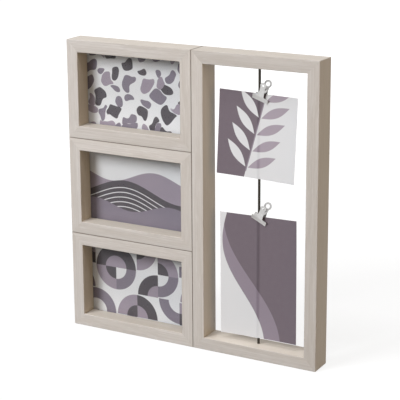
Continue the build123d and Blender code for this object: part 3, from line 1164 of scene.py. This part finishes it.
@dataclass
class SprungClip:
    """A clip of two sheet-metal jaws on a pin, with a torsion spring between the handles."""

    name: str
    pivot: Point
    tilt: float
    edge_rounding: float = 0.13
    wire: float = 0.4
    wire_sides: int = 10
    coil_radius: float = 1.2
    coil_turn: float = 820.0
    coil_step: float = 10.0
    pitch: float = 0.85
    lean: float = 40.0
    leg: float = 5.9
    end_reach: float = 0.25
    smooth_angle: float = 50.0

    def place(self) -> Matrix:
        """Return the clip's place: its origin on the pin, X along it."""
        turned = Matrix.Rotation(math.radians(self.tilt), 4, "Y")
        return Matrix.Translation(Vector(self.pivot) * MM) @ turned

    def build(self) -> None:
        """Make the jaws, the pin and the spring."""
        for side in ("front_jaw", "rear_jaw", "pin"):
            CLIP_PRESSING.make(f"{self.name}_clip_{side}", self.edge_rounding)
        self.build_spring()

    def build_spring(self) -> None:
        """Wind the spring from one ring of wire, draw out its legs and let it twist with the jaw."""
        travel = self.coil_turn / 360 * self.pitch
        start = math.radians(-self.lean)
        first = Vector((-travel / 2, self.coil_radius * math.cos(start), self.coil_radius * math.sin(start)))
        bpy.ops.object.select_all(action="DESELECT")
        bpy.ops.mesh.primitive_circle_add(
            vertices=self.wire_sides, radius=self.wire / 2 * MM,
            rotation=(start, 0.0, 0.0), location=first * MM,
        )
        piece = bpy.context.active_object
        piece.name = piece.data.name = f"{self.name}_clip_torsion_spring"
        bpy.ops.object.transform_apply(location=True, rotation=True, scale=True)
        steps = int(self.coil_turn / self.coil_step)
        apply_modifier(
            piece, "SCREW", axis="X", angle=-math.radians(self.coil_turn), screw_offset=travel * MM,
            steps=steps, render_steps=steps, use_smooth_shade=True,
        )
        for end in (-1, 1):
            self.draw_leg(piece, end, travel)
        with editing(piece):
            bpy.ops.mesh.normals_make_consistent(inside=False)
        smooth(piece, self.smooth_angle)
        settle(piece, self.place())
        along = self.place().to_3x3() @ Vector((travel / 2 * MM, 0.0, 0.0))
        middle = Vector(self.pivot) * MM
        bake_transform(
            piece, f"{self.name}_clip", f"{self.name}_front_jaw", start=middle - along, end=middle + along
        )
        paint(piece, SPRING_STEEL)
        stand_in(piece, f"{self.name}_clip_spring")

    def draw_leg(self, piece: Shape, end: int, travel: float) -> None:
        """Draw one open end of the coil out into a straight leg and close it.

        Args:
            piece: The coil.
            end: -1 for the rear leg, 1 for the front leg.
            travel: The coil's length along the pin in millimetres.
        """
        turn = math.radians(-self.lean - (self.coil_turn if end > 0 else 0.0))
        slope = self.pitch / (2 * math.pi)
        path = Vector((slope, self.coil_radius * math.sin(turn), -self.coil_radius * math.cos(turn)))
        path = path.normalized() * end * self.leg * MM

        def at_end(edge: bmesh.types.BMEdge) -> bool:
            """Return whether an edge is on the open ring at this end of the coil."""
            return edge.is_boundary and edge.verts[0].co.x * end > (travel / 2 - self.end_reach) * MM

        with editing(piece):
            pick_edges(piece, at_end)
            bpy.ops.mesh.extrude_region_move(TRANSFORM_OT_translate={"value": path})
            bpy.ops.mesh.edge_face_add()


@dataclass
class HangingCard:
    """A printed card in a clip, bowed a little and creased softly over the cord."""

    name: str
    design: Design
    top: Point
    height: float
    turn: float
    cord_x: float = CORD_X
    width: float = 98.0
    thickness: float = 0.3
    bow: float = 1.3
    reach: float = 1.2
    crease: float = 0.28
    crease_width: float = 1.7
    crease_growth: float = 6.0
    cells: tuple[int, int] = (112, 48)
    smooth_angle: float = 40.0

    def build(self) -> None:
        """Make the card from a fine grid, bow it and give it its thickness."""
        bpy.ops.object.select_all(action="DESELECT")
        bpy.ops.mesh.primitive_grid_add(
            x_subdivisions=self.cells[0], y_subdivisions=self.cells[1], size=1.0, calc_uvs=True
        )
        piece = bpy.context.active_object
        piece.name = piece.data.name = f"{self.name}_printed_card"
        with editing(piece):
            bpy.ops.transform.resize(value=(self.width * MM, self.height * MM, 1.0))
            bpy.ops.transform.translate(value=(0.0, -self.height / 2 * MM, 0.0))
        upright = Matrix.Rotation(math.radians(90), 4, "X")
        turned = Matrix.Rotation(math.radians(self.turn), 4, "Y")
        settle(piece, Matrix.Translation(Vector(self.top) * MM) @ turned @ upright)
        self.bend(piece)
        face = PrintedCard(
            f"card_{self.design.value}", self.design, map_size=(self.width, self.height),
            inks=CARD_INKS, crease_x=self.cord_x, crease_width=self.crease_width,
        )
        paint(piece, face, CARD_BACK)
        apply_modifier(
            piece, "SOLIDIFY", thickness=self.thickness * MM, offset=0.0,
            material_offset=1, material_offset_rim=1,
        )
        smooth(piece, self.smooth_angle)
        stand_in(piece, f"{self.name}_hanging_card")

    def bend(self, piece: Shape) -> None:
        """Bow the card forwards towards its free edges and crease it over the cord.

        Args:
            piece: The flat card at its place.
        """
        for vertex in piece.data.vertices:
            down = min(1.0, max(0.0, (self.top[2] * MM - vertex.co.z) / (self.height * MM)))
            side = (vertex.co.x - self.top[0] * MM) / (self.width / 2 * MM)
            over = (vertex.co.x / MM - self.cord_x) / self.crease_width
            eased = down * down * (3 - 2 * down)
            forward = self.bow * side * side * eased + self.reach * down * down
            forward += self.crease * math.exp(-over * over) * min(1.0, down * self.crease_growth)
            vertex.co.y -= forward * MM


# Back and studio


@dataclass
class BackHardware:
    """The fasteners and hangers behind and inside the frames."""

    plates: tuple[str, ...] = ("left_sawtooth_hanger", "right_sawtooth_hanger")
    plate_rounding: float = 0.12
    small: tuple[str, ...] = ("turn_button_screws", "corner_v_nails", "hanger_nails")

    def build(self) -> None:
        """Ease the hangers' edges and dress the small fasteners."""
        for node in self.plates:
            ZINC_PRESSING.make(node, self.plate_rounding)
        for node in self.small:
            dress(node, ZINC)
        dress("frame_dowels", BEECH)


@dataclass(frozen=True)
class Lamp:
    """A soft lamp with a flat square front."""

    name: str
    at: Point
    size: Pair
    power: float
    tint: Point

    def build(self, aim: Point) -> None:
        """Hang the lamp, turn it towards a point and keep its outline out of the metal.

        Args:
            aim: The point, in metres.
        """
        glow = bpy.data.lights.new(self.name, "AREA")
        glow.shape = "RECTANGLE"
        glow.size, glow.size_y = self.size
        glow.energy = self.power
        glow.color = self.tint
        lamp = bpy.data.objects.new(self.name, glow)
        lamp.visible_glossy = False
        lamp.location = Vector(self.at)
        lamp.rotation_euler = (Vector(aim) - lamp.location).to_track_quat("-Z", "Y").to_euler()
        bpy.context.scene.collection.objects.link(lamp)


@dataclass(frozen=True)
class Studio:
    """The camera, the lamps, the white surround and the floor."""

    eye: Point = (767.1, -1366.7, 625.1)
    yaw: float = -29.565
    pitch: float = 14.404
    roll: float = -0.493
    focal_share: float = 1386.0 / 400
    sensor: float = 36.0
    shift: Pair = (0.03, -0.09)
    aim: Point = (0.0, -0.01, 0.15)
    key: Lamp = Lamp("key_lamp", (-1.7, -3.0, 2.2), (1.6, 1.8), 141.0, (0.975, 1.0, 1.015))
    top: Lamp = Lamp("top_lamp", (0.0, -0.66, 2.22), (1.2, 0.5), 20.5, (0.98, 1.0, 1.04))
    fill: Lamp = Lamp("fill_lamp", (1.6, -0.6, 0.5), (1.0, 1.0), 5.2, (1.32, 1.0, 0.6))
    rear: Lamp = Lamp("rear_lamp", (-0.3, 2.8, 1.1), (1.8, 1.6), 41.0, (1.0, 1.0, 1.0))
    ambient: float = 0.06
    backdrop: float = 0.12
    ambient_tint: Colour = (1.07, 1.0, 0.88, 1.0)
    floor_size: float = 8.0
    floor_lit: Colour = (0.22, 0.22, 0.22, 1.0)
    floor_seen: Colour = (0.2, 0.2, 0.2, 1.0)
    floor_glow: Pair = (0.82, 0.97)
    glow_reach: Pair = (250.0, 1200.0)

    def build(self) -> None:
        """Set up the camera, lamps, world and floor."""
        self.build_camera()
        for lamp in (self.key, self.top, self.fill, self.rear):
            lamp.build(self.aim)
        self.build_world()
        self.build_floor()
        bpy.context.scene.view_settings.view_transform = "Standard"

    def build_camera(self) -> None:
        """Put the camera where the picture was taken from."""
        yaw, pitch, roll = (math.radians(angle) for angle in (self.yaw, self.pitch, self.roll))
        ahead = Vector((math.sin(yaw) * math.cos(pitch), math.cos(yaw) * math.cos(pitch), -math.sin(pitch)))
        side = Vector((math.cos(yaw), -math.sin(yaw), 0.0))
        over = side.cross(ahead)
        right = side * math.cos(roll) + over * math.sin(roll)
        up = over * math.cos(roll) - side * math.sin(roll)
        lens = bpy.data.cameras.new("camera")
        lens.sensor_width = self.sensor
        lens.lens = self.focal_share * self.sensor
        lens.shift_x, lens.shift_y = self.shift
        camera = bpy.data.objects.new("camera", lens)
        turned = Matrix((right, up, -ahead)).transposed().to_4x4()
        camera.matrix_world = Matrix.Translation(Vector(self.eye) * MM) @ turned
        bpy.context.scene.collection.objects.link(camera)
        bpy.context.scene.camera = camera

    def build_world(self) -> None:
        """Make the surround white to look at and give it a plain level of light."""
        world = bpy.data.worlds.new("white_surround")
        world.use_nodes = True
        bpy.context.scene.world = world
        bench = NodeBench(world.node_tree)
        back = world.node_tree.nodes["Background"]
        _, depth, _ = bench.axes(bench.add("ShaderNodeTexCoord").outputs["Generated"])
        light = depth.most(0.0) * self.backdrop + self.ambient
        seen = bench.rays(*SEEN_RAYS)
        tint = bench.mix(seen, self.ambient_tint, WHITE)
        bench.feed_all(back, Strength=light.most(seen), Color=tint)

    def build_floor(self) -> None:
        """Lay a plain pale floor that looks white and keeps the frame's shadow."""
        bpy.ops.object.select_all(action="DESELECT")
        bpy.ops.mesh.primitive_plane_add(size=self.floor_size)
        floor = bpy.context.active_object
        floor.name = "studio_floor"
        coat = Coat("white_floor")
        seen = coat.rays(*SEEN_RAYS)
        mottle = coat.noise(coat.place(), scale=0.004, detail=2.0)
        x, y, _ = coat.axes(coat.place())
        away = (x * x + y * y).root().spread(*self.glow_reach)
        coat.set(Base_Color=coat.mix(seen, self.floor_lit, self.floor_seen))
        coat.set(Roughness=mottle.between(0.7, 0.72), Specular_IOR_Level=0.0)
        coat.set(Emission_Color=WHITE, Emission_Strength=seen * away.between(*self.floor_glow))
        floor.data.materials.append(coat.material)


def main() -> None:
    """Build the frame's parts in order."""
    logging.basicConfig(level=logging.INFO, format="%(message)s")
    Studio().build()
    CordLine().build()
    designs = {"bottom": Design.QUARTERS, "middle": Design.HILLS, "top": Design.PEBBLES}
    for row, (name, design) in enumerate(designs.items()):
        GlazedFrame(name, (SMALL_X, SMALL_FRAME[1] * (row + 0.5)), SMALL_FRAME, design=design).build()
    MitredFrame("tall", (CORD_X, TALL_FRAME[1] / 2), TALL_FRAME).build()
    SprungClip("upper", pivot=(90.317, -0.2, 318.2), tilt=19.0).build()
    SprungClip("lower", pivot=(90.375, -0.2, 176.035), tilt=26.0).build()
    HangingCard("upper", Design.SPRIG, top=(84.1, -1.75, 314.78), height=99.0, turn=1.6).build()
    HangingCard("lower", Design.DUNES, top=(84.1, -1.75, 171.1), height=148.0, turn=-0.9).build()
    BackHardware().build()


if __name__ == "__main__":
    main()
